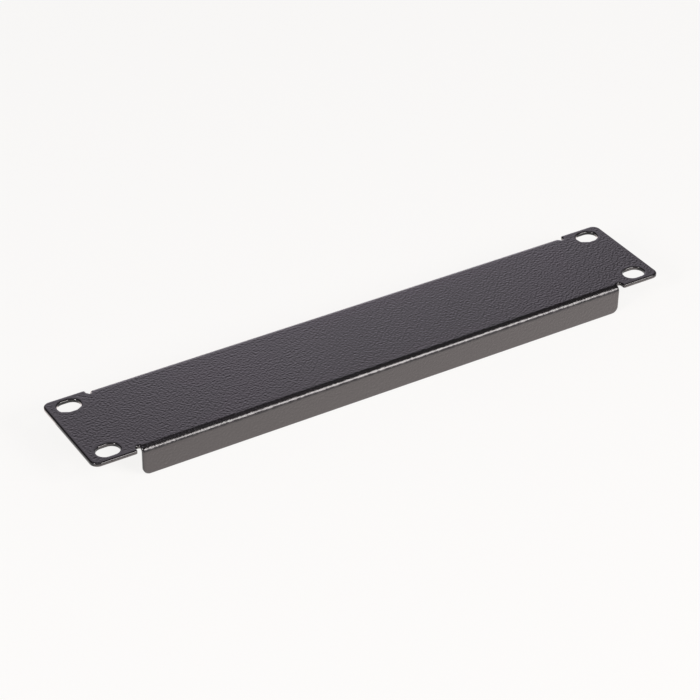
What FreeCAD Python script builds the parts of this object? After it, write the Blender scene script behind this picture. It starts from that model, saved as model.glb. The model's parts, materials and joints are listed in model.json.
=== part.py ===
import FreeCAD, Part
import os

# Rack blanking panel: a half-width, one-unit filler panel folded from a single steel sheet.
# A flat face carries four mounting slots in its end tabs. Between the tabs both long edges
# are folded back through 90 degrees into stiffening flanges, and a small relief notch at each
# end of each fold lets the metal bend without tearing the tab beside it.
#
# Frame: X along the panel, Y up the rack, +Z out of the front face. The origin is the middle
# of the slot pattern on the rear face, the plane that seats on the rack's rails.

# Driving dimensions, in millimetres.
panel_length = 254.0          # end to end, the width of a ten inch rack
rack_unit = 44.45             # height of one rack unit
unit_clearance = 0.75         # left free between this panel and its neighbours
sheet = 1.5                   # thickness of the sheet with its coating
flange_depth = 12.3           # from the front face to a flange's free edge
inner_bend_radius = 1.0
tab_length = 17.9             # from the panel's end to its relief notches
relief_width = 2.0
relief_corner_radius = 0.8    # rounds the closed end of a notch
relief_past_bend = 0.2        # how far a notch reaches behind the line where the bend starts
slot_end_inset = 8.7375       # from the panel's end to the middle of a slot
slot_unit_inset = 6.35        # from the rack unit's edge to the middle of a slot
slot_length = 9.3             # end to end, along X
slot_width = 6.9
panel_corner_radius = 3.2
tab_corner_radius = 0.8       # where a tab meets its notch
flange_corner_radius = 2.8
punched_edge_radius = 0.5     # the punch rolls the front edge of every cut

# Sizes that follow from them.
half_length = panel_length / 2
half_height = (rack_unit - unit_clearance) / 2
outer_bend_radius = inner_bend_radius + sheet
bend_start = half_height - outer_bend_radius
notch_floor = bend_start - relief_past_bend
tab_edge = half_length - tab_length
flange_end = tab_edge - relief_width
flange_tip = sheet - flange_depth
slot_x = half_length - slot_end_inset
slot_y = rack_unit / 2 - slot_unit_inset

CLEAR = 5.0                   # how far a cutting tool stands out of the metal
SHARP_TURN = 0.5              # radians between two faces that meet in a sharp edge
TOUCH = 1e-6                  # two places nearer than this are the same


def point(x, y, z=0.0):
    """A place in the panel's frame."""
    return FreeCAD.Vector(x, y, z)


def line(start, end):
    """A straight edge."""
    return Part.LineSegment(start, end).toShape()


def quarter_arc(centre, first, second, radius):
    """A quarter circle about a centre, from one of two square directions to the other."""
    middle = (first + second).normalize()
    ends = centre + first * radius, centre + middle * radius, centre + second * radius
    return Part.Arc(*ends).toShape()


def face_within(edges):
    """The flat face that a closed set of edges bounds."""
    return Part.Face(Part.Wire(Part.sortEdges(edges)[0]))


def rounded_prism(length, height, radius, low, high):
    """Upright prism over a rectangle centred on Z whose corners are rounded."""
    x = length / 2 - radius
    y = height / 2 - radius
    edges = []
    for side in (-1, 1):
        edges.append(line(point(-x, side * (y + radius)), point(x, side * (y + radius))))
        if y > TOUCH:
            edges.append(line(point(side * (x + radius), -y), point(side * (x + radius), y)))
        for end in (-1, 1):
            corner = point(end * x, side * y)
            edges.append(quarter_arc(corner, point(end, 0), point(0, side), radius))
    outline = face_within(edges)
    outline.translate(point(0, 0, low))
    return outline.extrude(point(0, 0, high - low))


def in_each_quarter(shape, x, y):
    """Copies of a shape centred on the origin, one at (x, y) in each quarter of the panel."""
    return [shape.translated(point(i * x, j * y)) for i in (-1, 1) for j in (-1, 1)]


def skin(wall_y, top, radius):
    """One skin of the folded section: along the web, round the bend and down the flange."""
    centre = point(0, wall_y - radius, top - radius)
    return [
        line(point(0, 0, top), point(0, wall_y - radius, top)),
        quarter_arc(centre, point(0, 0, 1), point(0, 1, 0), radius),
        line(point(0, wall_y, top - radius), point(0, wall_y, flange_tip)),
    ]


def folded_channel(half_run):
    """Web, bends and flanges: half of the folded section carried along X, and its mirror."""
    inner_wall = half_height - sheet
    edges = skin(half_height, sheet, outer_bend_radius)
    edges += skin(inner_wall, 0.0, inner_bend_radius)
    edges.append(line(point(0, 0, 0), point(0, 0, sheet)))
    edges.append(line(point(0, inner_wall, flange_tip), point(0, half_height, flange_tip)))
    section = face_within(edges)
    section.translate(point(-half_run, 0))
    half = section.extrude(point(2 * half_run, 0))
    return half.fuse(half.mirror(point(0, 0), point(0, 1)))


def flat_tabs(half_run):
    """The flat plate at full height, without the edge strips that the folds take the place of."""
    plate = rounded_prism(panel_length, 2 * half_height, panel_corner_radius, 0.0, sheet)
    strip = Part.makeBox(2 * half_run, CLEAR, 2 * sheet, point(-half_run, bend_start, -sheet / 2))
    return plate.cut([strip, strip.mirror(point(0, 0), point(0, 1))])


def relief_notches():
    """Cutting tools for the bend reliefs, open at the panel's long edges."""
    reach = half_height + CLEAR - notch_floor
    tool = rounded_prism(
        relief_width, reach, relief_corner_radius, flange_tip - CLEAR, sheet + CLEAR
    )
    return in_each_quarter(tool, (tab_edge + flange_end) / 2, notch_floor + reach / 2)


def mounting_slots():
    """Cutting tools for the slots that take the rack screws."""
    tool = rounded_prism(slot_length, slot_width, slot_width / 2, -CLEAR, sheet + CLEAR)
    return in_each_quarter(tool, slot_x, slot_y)


def edges_through(shape, direction, x, y=None, z=None):
    """Straight edges along a direction whose middle has these absolute coordinates."""
    found = []
    for edge in shape.Edges:
        if not isinstance(edge.Curve, Part.Line):
            continue
        middle = edge.CenterOfMass
        places = ((middle.x, x), (abs(middle.y), y), (middle.z, z))
        near = all(want is None or abs(abs(at) - abs(want)) < 1e-4 for at, want in places)
        if near and edge.Curve.Direction.cross(direction).Length < TOUCH:
            found.append(edge)
    return found


def normal_at(face, place):
    """A face's outward normal at the place on it that is nearest."""
    return face.normalAt(*face.Surface.parameter(place))


def is_sharp(edge, faces):
    """Whether the two faces beside an edge meet at an angle there."""
    place = edge.valueAt((edge.FirstParameter + edge.LastParameter) / 2)
    first, second = [normal_at(face, place) for face in faces]
    return first.getAngle(second) > SHARP_TURN


def front_rim(shape):
    """The sharp edges round the sheet's front skin: the face and what runs smoothly on from it."""
    facing = [f for f in shape.Faces if abs(f.CenterOfMass.z - sheet) < TOUCH]
    skin_faces = []
    rim = []
    while facing:
        face = facing.pop()
        if any(face.isSame(known) for known in skin_faces):
            continue
        skin_faces.append(face)
        for edge in face.Edges:
            beside = shape.ancestorsOfType(edge, Part.Face)
            if is_sharp(edge, beside):
                rim.append(edge)
            else:
                facing += beside
    return rim


def blanking_panel():
    """The whole panel as one solid: cut, folded, notched, slotted and rounded."""
    half_run = flange_end + relief_width / 2
    panel = flat_tabs(half_run).fuse(folded_channel(half_run))
    panel = panel.cut(relief_notches() + mounting_slots()).removeSplitter()
    tab_corners = edges_through(panel, point(0, 0, 1), tab_edge, y=half_height)
    panel = panel.makeFillet(tab_corner_radius, tab_corners)
    flange_corners = edges_through(panel, point(0, 1, 0), flange_end, z=flange_tip)
    panel = panel.makeFillet(flange_corner_radius, flange_corners)
    return panel.makeFillet(punched_edge_radius, front_rim(panel)).Solids[0]


os.makedirs("parts", exist_ok=True)
panel = blanking_panel()
panel.exportStep("parts/blanking_panel.step")
box = panel.optimalBoundingBox(True, False)
print(f"blanking_panel: {box.XLength:.2f} x {box.YLength:.2f} x {box.ZLength:.2f} mm,")
print(f"{len(panel.Faces)} faces, {panel.Volume / 1000:.2f} cubic centimetres of sheet,")
print(f"slots {2 * slot_x:.3f} mm apart along the panel and {2 * slot_y:.3f} mm across it")
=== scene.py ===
# %% [markdown]
# # A rack blanking panel in textured black powder coat
#
# The panel is one sheet of steel, punched flat, folded along two lines and powder coated. The CAD
# frame already holds its exact size and shape, but its skin is too coarse to carry the grain of
# the coat. So the same sheet is made again, the way a press shop makes it: a flat blank is
# outlined, its edges are rounded, the grain is pressed into its skin, and then the whole blank is
# folded in one go by a formula.

# %% Load the frame
import math
import json

import bpy
import numpy as np
from mathutils import Matrix, Vector
from mathutils.geometry import delaunay_2d_cdt


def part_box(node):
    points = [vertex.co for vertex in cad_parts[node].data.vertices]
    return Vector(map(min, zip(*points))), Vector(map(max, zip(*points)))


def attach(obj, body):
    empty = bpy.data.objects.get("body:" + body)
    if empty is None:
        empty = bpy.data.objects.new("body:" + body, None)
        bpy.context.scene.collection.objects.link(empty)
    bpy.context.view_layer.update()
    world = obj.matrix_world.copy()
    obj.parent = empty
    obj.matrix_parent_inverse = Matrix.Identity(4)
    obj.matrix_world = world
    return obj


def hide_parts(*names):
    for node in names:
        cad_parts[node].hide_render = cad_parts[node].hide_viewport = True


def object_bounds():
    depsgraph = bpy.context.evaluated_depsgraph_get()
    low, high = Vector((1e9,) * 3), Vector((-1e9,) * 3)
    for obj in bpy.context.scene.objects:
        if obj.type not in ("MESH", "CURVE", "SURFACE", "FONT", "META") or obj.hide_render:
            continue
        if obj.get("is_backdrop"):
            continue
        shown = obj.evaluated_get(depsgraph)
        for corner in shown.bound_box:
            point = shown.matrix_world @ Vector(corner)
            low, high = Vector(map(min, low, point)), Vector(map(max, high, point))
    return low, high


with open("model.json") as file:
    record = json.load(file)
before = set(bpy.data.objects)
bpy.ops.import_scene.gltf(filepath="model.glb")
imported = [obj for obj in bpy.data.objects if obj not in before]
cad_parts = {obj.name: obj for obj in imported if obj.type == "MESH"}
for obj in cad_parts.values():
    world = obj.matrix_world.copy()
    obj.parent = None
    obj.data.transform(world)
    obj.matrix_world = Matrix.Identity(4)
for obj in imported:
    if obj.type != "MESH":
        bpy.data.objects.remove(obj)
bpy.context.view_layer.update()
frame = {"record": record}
low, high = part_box("blanking_panel")
print("CAD box in millimetres:", [round(1000 * (b - a), 2) for a, b in zip(low, high)])

# %% [markdown]
# ## Sizes
#
# The frame gives the overall box, and its origin lies on the rear face, so the sheet's thickness
# is simply how far the box rises above zero. The slots come from the record's bolt pattern. The
# few sizes that neither of them states are written here, in metres.

# %% Sizes of the sheet
MM = 0.001
TINY = 1e-9                   # metres: two places nearer than this are the same
half_length = high.x
half_height = high.y
front = high.z
sheet = front
flange_tip = low.z
inner_bend_radius = 1.0 * MM
tab_length = 17.9 * MM
relief_width = 2.0 * MM
relief_corner_radius = 0.8 * MM
relief_past_bend = 0.2 * MM
panel_corner_radius = 3.2 * MM
tab_corner_radius = 0.8 * MM
flange_corner_radius = 2.8 * MM
front_edge_radius = 0.6 * MM
back_edge_radius = 0.2 * MM

slots = next(m for m in frame["record"]["mounts"] if m["name"] == "rack_slots")["dims"]
slot_x = slots["spacing_x_mm"] * MM / 2
slot_y = slots["spacing_y_mm"] * MM / 2
slot_radius = slots["hole_r_mm"] * MM
slot_straight = slots["slot_length_mm"] * MM / 2 - slot_radius

outer_bend_radius = inner_bend_radius + sheet
bend_start = half_height - outer_bend_radius
bend_run = outer_bend_radius * math.pi / 2
notch_floor = bend_start - relief_past_bend
tab_edge = half_length - tab_length
flange_end = tab_edge - relief_width
notch_middle = (tab_edge + flange_end) / 2
blank_half_width = bend_start + bend_run + (front - outer_bend_radius - flange_tip)
print("blank, before folding, in millimetres:",
      round(2 * half_length / MM, 1), "x", round(2 * blank_half_width / MM, 1))

# %% [markdown]
# ## The outline of the flat blank
#
# A punched outline is a chain of straight cuts and rounded corners. Only the corners need to be
# given: a straight cut simply joins the end of one corner to the start of the next. Each corner
# also knows which way is out of the metal, which later tells the edge where to round off.

# %% Corners and loops
step = 0.5 * MM               # between points along a cut and in the front skin
fewest_steps = 5              # round a small corner


def corner(x, y, radius, start, end, outward):
    """Points on a corner: centre plus radius times (cosine, sine) of an angle that runs from start
    to end, in degrees. outward is 1 where the corner sticks out and -1 where it bites in."""
    count = max(fewest_steps, math.ceil(radius * math.radians(abs(end - start)) / step))
    angle = np.radians(np.linspace(start, end, count + 1))
    direction = np.column_stack([np.cos(angle), np.sin(angle)])
    return np.array([x, y]) + radius * direction, outward * direction


def loop(corners):
    """Joins corners into a closed loop: between two of them, points step evenly along the straight
    line from one to the other and keep the direction that the first one ends with."""
    points, normals = [], []
    for (here, out), (there, _) in zip(corners, corners[1:] + corners[:1]):
        gap = there[0] - here[-1]
        count = math.ceil(np.linalg.norm(gap) / step)
        along = (np.arange(1, count) / max(count, 1))[:, None]
        points += [here, here[-1] + along * gap]
        normals += [out, np.repeat(out[-1:], len(along), axis=0)]
    return np.vstack(points), np.vstack(normals)


def mirrored(corners, x, y):
    """The same corners in another quarter: coordinates times (x, y), and the order turned round
    where that is needed to keep going the same way about the blank."""
    turn = 1 if x * y > 0 else -1
    sign = np.array([x, y])
    return [(points[::turn] * sign, normals[::turn] * sign) for points, normals in corners[::turn]]


# %% The blank's outline and its slots
quarter = [
    corner(half_length - panel_corner_radius, half_height - panel_corner_radius,
           panel_corner_radius, 0, 90, 1),
    corner(tab_edge + tab_corner_radius, half_height - tab_corner_radius,
           tab_corner_radius, 90, 180, 1),
    corner(tab_edge - relief_corner_radius, notch_floor + relief_corner_radius,
           relief_corner_radius, 0, -90, -1),
    corner(flange_end + relief_corner_radius, notch_floor + relief_corner_radius,
           relief_corner_radius, -90, -180, -1),
    corner(flange_end - flange_corner_radius, blank_half_width - flange_corner_radius,
           flange_corner_radius, 0, 90, 1),
]
outline = loop([
    bend for x, y in ((1, 1), (-1, 1), (-1, -1), (1, -1)) for bend in mirrored(quarter, x, y)
])


def slot_loop(x, y):
    """An oblong hole: two half circles about (x, y), run the other way round so that the metal
    stays on the left."""
    return loop([
        corner(x + slot_straight, y, slot_radius, 90, -90, -1),
        corner(x - slot_straight, y, slot_radius, -90, -270, -1),
    ])


loops = [outline] + [slot_loop(i * slot_x, j * slot_y) for i in (-1, 1) for j in (-1, 1)]
print("outline points:", [len(points) for points, _ in loops])


# %% How deep a place lies inside the blank
def rounded_box(x, y, half_x, half_y, radius):
    """Signed distance to a rounded rectangle about the origin: the length of what sticks out past
    the inner rectangle, less the radius. It is negative inside."""
    past_x = np.abs(x) - half_x + radius
    past_y = np.abs(y) - half_y + radius
    outside = np.hypot(np.maximum(past_x, 0), np.maximum(past_y, 0))
    return outside + np.minimum(np.maximum(past_x, past_y), 0) - radius


def edge_distance(x, y):
    """How far a place on the blank lies from the nearest cut: two rectangles joined, with the
    notches and the slots taken away."""
    x, y = np.abs(x), np.abs(y)
    tabs = rounded_box(x, y, half_length, half_height, panel_corner_radius)
    middle = rounded_box(x, y, flange_end, blank_half_width, flange_corner_radius)
    reach = blank_half_width
    notch = rounded_box(
        x - notch_middle, y - notch_floor - reach, relief_width / 2, reach, relief_corner_radius
    )
    slot = np.hypot(np.maximum(np.abs(x - slot_x) - slot_straight, 0), y - slot_y) - slot_radius
    return -np.maximum(np.maximum(np.minimum(tabs, middle), -notch), -slot)


# %% [markdown]
# ## Filling the blank
#
# Between the cuts, the skin is filled with points on a honeycomb lattice, where every triangle is
# close to equilateral, and a Delaunay triangulation ties the lattice to the cut edges. The front
# skin is fine enough to carry the coat's grain as real relief. The rear skin is coarser, and its
# points stand in rows along the two bends, so that it folds evenly.

# %% Lattices and triangulation
WHOLE_HULL = 0                # the triangulation covers everything, and is cut back afterwards
metal_share = 0.2             # of the margin: how deep a triangle's middle has to lie


def lattice(pitch, half_x, low_y, high_y):
    """A honeycomb lattice: rows half the square root of three apart, every other one shifted by
    half a pitch."""
    rows = np.arange(low_y, high_y, pitch * math.sqrt(3) / 2)
    columns = np.arange(-half_x, half_x, pitch)
    x, y = np.meshgrid(columns, rows)
    x = x + (np.arange(len(rows)) % 2)[:, None] * pitch / 2
    return np.column_stack([x.ravel(), y.ravel()])


def triangulate(rings, inside, margin):
    """Triangles over the rings' points and those lattice points that lie deeper than margin. Rings
    are kept as edges, and triangles whose middle is outside the metal are dropped. The lattice
    points that were used come back with them."""
    inside = inside[edge_distance(inside[:, 0], inside[:, 1]) > margin]
    points = np.vstack(rings + [inside])
    edges = []
    first = 0
    for ring in rings:
        here = first + np.arange(len(ring))
        edges += np.column_stack([here, np.roll(here, -1)]).tolist()
        first += len(ring)
    made = delaunay_2d_cdt(points.tolist(), edges, [], WHOLE_HULL, TINY, False)
    assert len(made[0]) == len(points), "two points were merged"
    triangles = np.array(made[2])
    middle = points[triangles].mean(axis=1)
    kept = edge_distance(middle[:, 0], middle[:, 1]) > metal_share * margin
    return inside, triangles[kept]


# %% [markdown]
# ## The cut edges
#
# The punch rolls the front edge of every cut over, and the molten coat rounds it further. The rear
# edge stays nearly sharp. A bevel would have to find these edges again after the fold, so they are
# made at once: each cut is repeated as a ring for every small turn from the front skin, round the
# front edge, down the sheet and round the rear edge, and four-sided faces join ring to ring.

# %% Rings from the front skin, round the edge, to the rear skin
front_turn = np.radians([90, 72, 54, 36, 18, 0])
back_turn = np.radians([0, 45, 90])
insets = np.concatenate([
    front_edge_radius * (1 - np.cos(front_turn)),
    back_edge_radius * (1 - np.cos(back_turn)),
])
depths = np.concatenate([
    front_edge_radius * (1 - np.sin(front_turn)),
    sheet - back_edge_radius * (1 - np.sin(back_turn)),
])

vertices, quads = [], []
front_rings, back_rings = [], []
front_index, back_index = [], []
total = 0
for points, normals in loops:
    count = len(points)
    for inset, depth in zip(insets, depths):
        vertices.append(np.column_stack([points - inset * normals, np.full(count, depth)]))
    here = total + np.arange(count)
    front_rings.append(points - insets[0] * normals)
    back_rings.append(points - insets[-1] * normals)
    front_index.append(here)
    back_index.append(here + count * (len(insets) - 1))
    for level in range(len(insets) - 1):
        upper = here + level * count
        lower = upper + count
        quads.append(np.column_stack([upper, lower, np.roll(lower, -1), np.roll(upper, -1)]))
    total += count * len(insets)
print("rings round each cut:", len(insets))

# %% Front skin
front_clearance = 0.55 * step

front_fill = lattice(step, half_length, -blank_half_width, blank_half_width)
front_inside, front_faces = triangulate(
    front_rings, front_fill, front_edge_radius + front_clearance
)
print("front triangles:", len(front_faces))

# %% Rear skin
coarse = 1.5 * MM
coarse_clearance = 0.3 * coarse
rows_in_bend = 10

back_fill = lattice(coarse, half_length, -blank_half_width, blank_half_width)
from_middle = np.abs(np.abs(back_fill[:, 1]) - bend_start - bend_run / 2)
in_bend = from_middle < bend_run / 2 + coarse_clearance
folds = np.abs(back_fill[:, 0]) < notch_middle
bend_rows = np.linspace(bend_start, bend_start + bend_run, rows_in_bend)
columns = np.arange(-flange_end, flange_end, coarse)
row_x, row_y = np.meshgrid(columns, np.concatenate([-bend_rows, bend_rows]))
bend_fill = np.column_stack([row_x.ravel(), row_y.ravel()])
back_fill = np.vstack([back_fill[~(in_bend & folds)], bend_fill])
back_inside, back_faces = triangulate(back_rings, back_fill, back_edge_radius + coarse_clearance)
print("rear triangles:", len(back_faces))

# %% One list of points for the whole blank
front_ids = np.concatenate(front_index + [total + np.arange(len(front_inside))])
total += len(front_inside)
back_ids = np.concatenate(back_index + [total + np.arange(len(back_inside))])
total += len(back_inside)
vertices.append(np.column_stack([front_inside, np.zeros(len(front_inside))]))
vertices.append(np.column_stack([back_inside, np.full(len(back_inside), sheet)]))
blank = np.vstack(vertices)
print("points on the blank:", len(blank))

# %% [markdown]
# ## The grain
#
# Textured powder flows and gels into small irregular pads with shallow creases between them. A sum
# of plane waves that share a narrow range of lengths, but run in every direction, makes such pads
# with no repeat. The grain dies out beside a cut, where the molten coat pulls back smooth, and
# round a bend it is shallower, because there the coat is thin.

# %% Grain as relief
grain_depth = 0.043 * MM
grain_fade = 1.6 * MM
grain_at_bend = 0.55          # of its depth on the flat
shortest_pad = 1.2 * MM
longest_pad = 2.3 * MM
wave_count = 140
tallest_pad = 2.5             # spreads from the middle height, where pads are cut off
draw = np.random.default_rng(7)


def pads(x, y, shortest, longest, waves):
    """Sum of plane waves: each is the cosine of its direction times the place, over its length,
    plus a phase. The sum is scaled to a spread of one."""
    length = draw.uniform(shortest, longest, waves)
    heading = draw.uniform(0, 2 * np.pi, waves)
    phase = draw.uniform(0, 2 * np.pi, waves)
    height = np.zeros_like(x)
    for size, way, start in zip(length, heading, phase):
        height += np.cos(2 * np.pi * (x * np.cos(way) + y * np.sin(way)) / size + start)
    return height / math.sqrt(waves / 2)


edge = np.clip(edge_distance(blank[:, 0], blank[:, 1]), 0, None)
fade = np.clip((edge - front_edge_radius) / grain_fade, 0, 1)
fade = fade * fade * (3 - 2 * fade)
from_bend = (np.abs(blank[:, 1]) - bend_start - bend_run / 2) / (bend_run / 2)
grain = fade * (1 - (1 - grain_at_bend) * np.exp(-from_bend ** 2))
on_front = blank[:, 2] < TINY
relief = pads(blank[:, 0], blank[:, 1], shortest_pad, longest_pad, wave_count)
relief = np.clip(relief, -tallest_pad, tallest_pad) / (2 * tallest_pad) + 0.5
blank[:, 2] += np.where(on_front, grain_depth * grain * relief, 0)
print("grain relief up to", round(grain_depth / MM, 3), "mm deep")

# %% [markdown]
# ## Folding and the mesh
#
# A press brake wraps the flat sheet round a die. The metal keeps its length along the skin and only
# turns, so one formula folds every point of the blank, grain and rounded edges included. That is
# simpler and truer than bending a finished mesh, because nothing stretches. The arrays then go
# straight into a mesh, together with each point's place on the flat blank, its distance to the
# nearest cut and the strength of the grain there, which the finish will need.

# %% Fold the blank
def fold(blank):
    """Wraps the flat blank round its two bends. A place past the bend line turns about the bend's
    centre by its distance over the outer radius, at the outer radius less its depth, and goes
    straight down from there. The tabs, beyond the notches, stay flat."""
    x, across, depth = blank.T
    side = np.where(across < 0, -1.0, 1.0)
    past_line = np.abs(across) - bend_start
    folded = np.abs(x) < notch_middle
    turn = np.where(folded, np.clip(past_line, 0, bend_run) / outer_bend_radius, 0)
    down = np.where(folded, np.maximum(past_line - bend_run, 0), 0)
    flat = np.where(folded, np.minimum(past_line, 0), past_line)
    arm = outer_bend_radius - depth
    y = bend_start + flat + arm * np.sin(turn)
    z = front - outer_bend_radius + arm * np.cos(turn) - down
    return np.column_stack([x, side * y, z])


folded_panel = fold(blank)
print("folded, in millimetres:", np.round(np.ptp(folded_panel, axis=0) / MM, 2))

# %% Put the panel into a mesh
faces = np.vstack([front_ids[front_faces], back_ids[back_faces][:, ::-1]])
sides = np.vstack(quads)
mesh = bpy.data.meshes.new("coated_panel")
mesh.vertices.add(len(blank))
mesh.vertices.foreach_set("co", folded_panel.ravel())
mesh.loops.add(3 * len(faces) + 4 * len(sides))
mesh.loops.foreach_set("vertex_index", np.concatenate([faces.ravel(), sides.ravel()]))
mesh.polygons.add(len(faces) + len(sides))
starts = np.concatenate([3 * np.arange(len(faces)), 3 * len(faces) + 4 * np.arange(len(sides))])
mesh.polygons.foreach_set("loop_start", starts)
mesh.update(calc_edges=True)
mesh.polygons.foreach_set("use_smooth", np.ones(len(mesh.polygons), bool))
mesh.attributes.new("blank", "FLOAT_VECTOR", "POINT").data.foreach_set("vector", blank.ravel())
mesh.attributes.new("edge", "FLOAT", "POINT").data.foreach_set("value", edge)
mesh.attributes.new("grain", "FLOAT", "POINT").data.foreach_set("value", grain)
mesh.validate()
print("triangles:", len(faces) + 2 * len(sides))

# %% Stand the panel in for the CAD solid
panel = bpy.data.objects.new("coated_panel", mesh)
bpy.context.scene.collection.objects.link(panel)
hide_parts("blanking_panel")
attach(panel, "root")
print("the panel stands in for blanking_panel")

# %% [markdown]
# ## The coat
#
# The finish is a black powder coat with a soft gloss. Its colour is nearly nothing: what the eye
# sees is mostly the room, mirrored by the coat and broken up by its grain. So the shader is a dark
# plastic with the gloss of cured resin. Relief finer than the mesh can hold is a bump, laid out on
# the flat blank so that it runs on round the bends. Along the cuts the coat has drawn back smooth,
# and there it is calmer and glossier.

# %% Helpers for nodes
def smooth_ramp(tree, source, start, end, low, high):
    """A ramp without corners: with t how far the source lies between start and end, it goes from
    low to high by 3t² - 2t³."""
    node = tree.nodes.new("ShaderNodeMapRange")
    node.interpolation_type = "SMOOTHSTEP"
    for name, value in zip(("From Min", "From Max", "To Min", "To Max"), (start, end, low, high)):
        node.inputs[name].default_value = value
    tree.links.new(source, node.inputs["Value"])
    return node.outputs["Result"]


def combine(tree, operation, first, second):
    """One sum, product or maximum of a socket with a second socket or a plain number."""
    node = tree.nodes.new("ShaderNodeMath")
    node.operation = operation
    tree.links.new(first, node.inputs[0])
    if isinstance(second, float):
        node.inputs[1].default_value = second
    else:
        tree.links.new(second, node.inputs[1])
    return node.outputs[0]


def attribute(tree, name, output):
    """What a piece's mesh carries under a name."""
    node = tree.nodes.new("ShaderNodeAttribute")
    node.attribute_name = name
    return node.outputs[output]


# %% Coat material
coat_colour = (0.0070, 0.0066, 0.0069, 1)
coat_ior = 1.5
coat_roughness = 0.25
rim_roughness = 0.16
fine_grain = 0.85 * MM
fine_grain_height = 0.10 * MM

coat = bpy.data.materials.new("textured_black_coat")
coat.use_nodes = True
tree = coat.node_tree
shader = tree.nodes["Principled BSDF"]
shader.inputs["Base Color"].default_value = coat_colour
shader.inputs["IOR"].default_value = coat_ior

noise = tree.nodes.new("ShaderNodeTexNoise")
noise.inputs["Scale"].default_value = 1 / fine_grain
noise.inputs["Detail"].default_value = 0
tree.links.new(attribute(tree, "blank", "Vector"), noise.inputs["Vector"])

bump = tree.nodes.new("ShaderNodeBump")
bump.inputs["Distance"].default_value = fine_grain_height
tree.links.new(attribute(tree, "grain", "Fac"), bump.inputs["Strength"])
tree.links.new(noise.outputs["Fac"], bump.inputs["Height"])
tree.links.new(bump.outputs["Normal"], shader.inputs["Normal"])
gloss = smooth_ramp(
    tree, attribute(tree, "edge", "Fac"), front_edge_radius, front_edge_radius + grain_fade,
    rim_roughness, coat_roughness,
)
tree.links.new(gloss, shader.inputs["Roughness"])
mesh.materials.append(coat)
print("fine grain:", round(fine_grain / MM, 2), "mm across")

# %% [markdown]
# ## The floor
#
# The panel stands on a white paper sweep that has no edge in sight. To the camera, and in the
# coat's reflections, most of the paper's white is given as plain brightness, so it stays white
# without more light on the black panel. The rest is an ordinary matt surface, which keeps the
# panel's soft shadow.

# %% Floor
paper_white = (0.948, 0.941, 0.929, 1)
plain_share = 0.92            # of the paper's white that needs no light
floor_reach = 6.0

corners = floor_reach * np.array([(-1, -1), (1, -1), (1, 1), (-1, 1)])
floor_corners = np.column_stack([corners, np.full(4, flange_tip)])
floor_mesh = bpy.data.meshes.new("floor")
floor_mesh.from_pydata(floor_corners.tolist(), [], [(0, 1, 2, 3)])
floor = bpy.data.objects.new("floor", floor_mesh)
bpy.context.scene.collection.objects.link(floor)
floor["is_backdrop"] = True
print("floor height:", round(flange_tip / MM, 2), "mm")

# %% Paper material
paper = bpy.data.materials.new("paper")
paper.use_nodes = True
tree = paper.node_tree
tree.nodes.remove(tree.nodes["Principled BSDF"])
matt = tree.nodes.new("ShaderNodeBsdfDiffuse")
matt.inputs["Color"].default_value = paper_white
plain = tree.nodes.new("ShaderNodeEmission")
plain.inputs["Color"].default_value = paper_white
ray = tree.nodes.new("ShaderNodeLightPath").outputs
looked_at = combine(tree, "MAXIMUM", ray["Is Camera Ray"], ray["Is Glossy Ray"])
looked_at = combine(tree, "MAXIMUM", looked_at, ray["Is Transmission Ray"])
mix = tree.nodes.new("ShaderNodeMixShader")
tree.links.new(combine(tree, "MULTIPLY", looked_at, plain_share), mix.inputs["Fac"])
tree.links.new(matt.outputs[0], mix.inputs[1])
tree.links.new(plain.outputs[0], mix.inputs[2])
tree.links.new(mix.outputs[0], tree.nodes["Material Output"].inputs["Surface"])
floor_mesh.materials.append(paper)
print("white given as plain brightness:", plain_share)

# %% [markdown]
# ## The room
#
# A glossy black object is lit by what it mirrors, so the room is made of soft shapes and not only
# of lamps. Pale walls glow near the horizon and the ceiling is dark. The dark ceiling draws the
# black line along the bend. A large white sheet, hung low behind the panel and to its right, is
# what the front face mirrors. It fades upwards, and the grain shows crisp in its fading edge. Two
# dimmer sheets at the panel's ends and a soft glow overhead show the grain from other sides.

# %% Room
dark_ceiling = 0.02
pale_walls = 0.93
wall_top = math.radians(28)
wall_foot = math.radians(8)
shade_azimuth = math.radians(-50)
shade_outer = math.radians(50)
shade_inner = math.radians(20)
back_left_walls = 0.4
sheet_azimuth = math.radians(27)
sheet_rise = math.radians(8)
sheet_outer = math.radians(43)
sheet_inner = math.radians(3)
sheet_half_width = math.radians(20)
sheet_brightness = 1.98
side_outer, side_inner = 0.5, 0.95    # squares of the cosine to the nearer end of the panel
side_brightness = 0.8
overhead_outer = math.radians(24)
overhead_brightness = 1.8
room_colour = (0.96, 0.875, 1.01, 1)

world = bpy.data.worlds.new("studio")
bpy.context.scene.world = world
world.use_nodes = True
tree = world.node_tree
direction = tree.nodes.new("ShaderNodeTexCoord").outputs["Generated"]
split = tree.nodes.new("ShaderNodeSeparateXYZ")
tree.links.new(direction, split.inputs[0])


def cosine_to(azimuth, rise):
    """Cosine of the angle to a place in the room, from its azimuth, turned from behind the panel
    toward its right, and its height above the horizon."""
    node = tree.nodes.new("ShaderNodeVectorMath")
    node.operation = "DOT_PRODUCT"
    node.inputs[1].default_value = (
        math.sin(azimuth) * math.cos(rise), math.cos(azimuth) * math.cos(rise), math.sin(rise)
    )
    tree.links.new(direction, node.inputs[0])
    return node.outputs["Value"]


# %% Walls, in shadow behind the panel to its left
walls = smooth_ramp(
    tree, split.outputs["Z"], math.sin(wall_top), math.sin(wall_foot), dark_ceiling, pale_walls
)
shaded = smooth_ramp(
    tree, cosine_to(shade_azimuth, 0.0), math.cos(shade_outer), math.cos(shade_inner),
    1.0, back_left_walls,
)
walls = combine(tree, "MULTIPLY", walls, shaded)
print("walls: up to", round(math.degrees(wall_top)), "degrees above the horizon")

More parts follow.
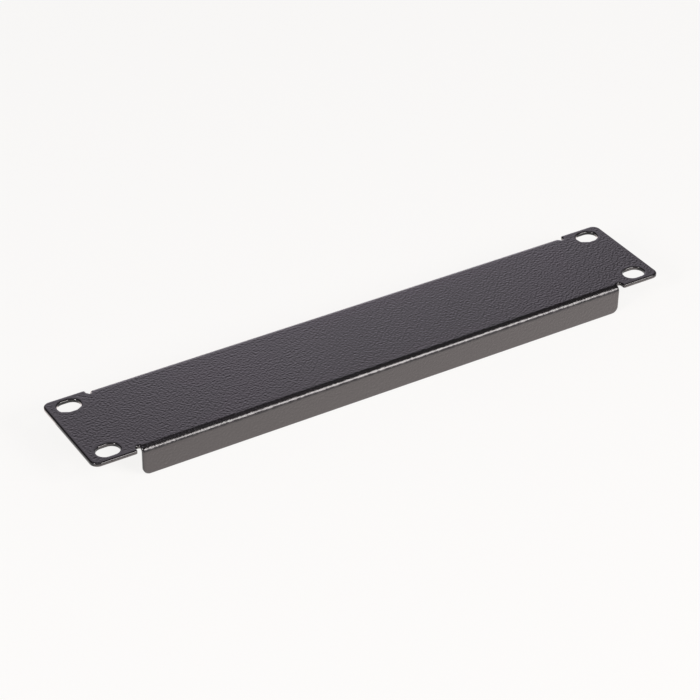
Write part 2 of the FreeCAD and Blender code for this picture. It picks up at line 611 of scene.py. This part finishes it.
# %% White sheets and the glow overhead
white_sheet = smooth_ramp(
    tree, cosine_to(sheet_azimuth, sheet_rise), math.cos(sheet_outer), math.cos(sheet_inner),
    0.0, sheet_brightness,
)
beside = cosine_to(sheet_azimuth + math.pi / 2, 0.0)
beside = combine(tree, "MULTIPLY", beside, beside)
narrowed = smooth_ramp(tree, beside, math.sin(sheet_half_width) ** 2, 0.0, 0.0, 1.0)
white_sheet = combine(tree, "MULTIPLY", white_sheet, narrowed)
across = combine(tree, "MULTIPLY", split.outputs["X"], split.outputs["X"])
side_sheets = smooth_ramp(tree, across, side_outer, side_inner, 0.0, side_brightness)
overhead = smooth_ramp(
    tree, split.outputs["Z"], math.cos(overhead_outer), 1.0, 0.0, overhead_brightness
)
strength = combine(tree, "MAXIMUM", walls, white_sheet)
strength = combine(tree, "MAXIMUM", strength, side_sheets)
strength = combine(tree, "MAXIMUM", strength, overhead)
background = tree.nodes["Background"]
background.inputs["Color"].default_value = room_colour
tree.links.new(strength, background.inputs["Strength"])
print("white sheet: azimuth", round(math.degrees(sheet_azimuth)), "degrees")

# %% [markdown]
# ## The light tables
#
# The near flange looks straight down at the floor in front of it, and the floor there glows. Flat
# area lamps just above the paper, facing up and hidden from the camera, are such light tables. One
# lies in front of the panel and one behind it, and the floor under the panel stays plain.

# %% Lamps
def lamp(name, size, radiance, colour):
    """A flat lamp as bright all over as its radiance says: its power is pi times its area times
    that."""
    light = bpy.data.lights.new(name, "AREA")
    light.shape = "RECTANGLE"
    light.size, light.size_y = size
    light.color = colour
    light.energy = radiance * math.pi * size[0] * size[1]
    stand = bpy.data.objects.new(name, light)
    bpy.context.scene.collection.objects.link(stand)
    stand.visible_camera = False
    return stand


# %% Light tables
table_size = (0.28, 0.04)
table_gap = 0.1 * MM
table_radiance = 1.5
table_colour = (1.02, 0.87, 0.84)

table_y = half_height + table_gap + table_size[1] / 2
for name, side in (("front_table", -1), ("rear_table", 1)):
    table = lamp(name, table_size, table_radiance, table_colour)
    table.location = (0, side * table_y, flange_tip + table_gap)
    table.rotation_euler = (math.pi, 0, 0)
print("light tables:", table_size[0], "x", table_size[1], "m")

# %% [markdown]
# ## The soft boxes
#
# A wide soft box stands low in front, to the right of the camera. The bend turns through every
# angle between the face and the flange, so somewhere on it the soft box is mirrored: that is the
# bright line along the panel's edge. A smaller one at the left is mirrored only in rounded corners
# and in the slots' edges, as small glints.

# %% Soft boxes
soft_box_distance = 1.2       # metres, and so are the sizes of the boxes
soft_box_colour = (1.0, 0.95, 0.94)


def soft_box(name, azimuth, rise, size, radiance):
    """A lamp that looks at the panel from an azimuth, turned from straight in front toward the
    right, and from a rise above the horizon, both in degrees. Its place is the distance times
    (sin azimuth cos rise, -cos azimuth cos rise, sin rise)."""
    azimuth, rise = math.radians(azimuth), math.radians(rise)
    toward = Vector((
        math.sin(azimuth) * math.cos(rise), -math.cos(azimuth) * math.cos(rise), math.sin(rise)
    ))
    stand = lamp(name, size, radiance, soft_box_colour)
    stand.location = soft_box_distance * toward
    stand.rotation_euler = toward.to_track_quat("Z", "Y").to_euler()


soft_box("key", azimuth=29, rise=29, size=(0.65, 0.45), radiance=17.5)
soft_box("side_box", azimuth=-70, rise=28, size=(0.35, 0.35), radiance=30.0)
print("soft boxes:", soft_box_distance, "m away")

# %% [markdown]
# ## The camera
#
# A long lens, a little under a metre away, looks down on the panel's front face from beyond its
# left end, so the panel runs off up and to the right. The camera is rolled by less than a degree.

# %% Camera
focal_length = 120.73         # millimetres, as is the sensor's width
sensor_width = 36
camera_roll = math.radians(0.907)
face_height = Vector((0, 0, front))
camera_place = Vector((-404.242, -636.240, 505.248)) * MM + face_height
camera_aim = Vector((-9.751, -5.592, 0)) * MM + face_height
look = camera_aim - camera_place

camera = bpy.data.cameras.new("camera")
camera.lens = focal_length
camera.sensor_width = sensor_width
camera_object = bpy.data.objects.new("camera", camera)
bpy.context.scene.collection.objects.link(camera_object)
bpy.context.scene.camera = camera_object
turn = look.to_track_quat("-Z", "Y").to_matrix() @ Matrix.Rotation(camera_roll, 3, "Z")
camera_object.matrix_world = Matrix.Translation(camera_place) @ turn.to_4x4()
print("camera distance:", round(look.length, 3), "m")

# %% [markdown]
# ## Handing over
#
# Colours are shown as they are, with no film look over them.

# %% Finish
bpy.context.scene.view_settings.view_transform = "Standard"
low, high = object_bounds()
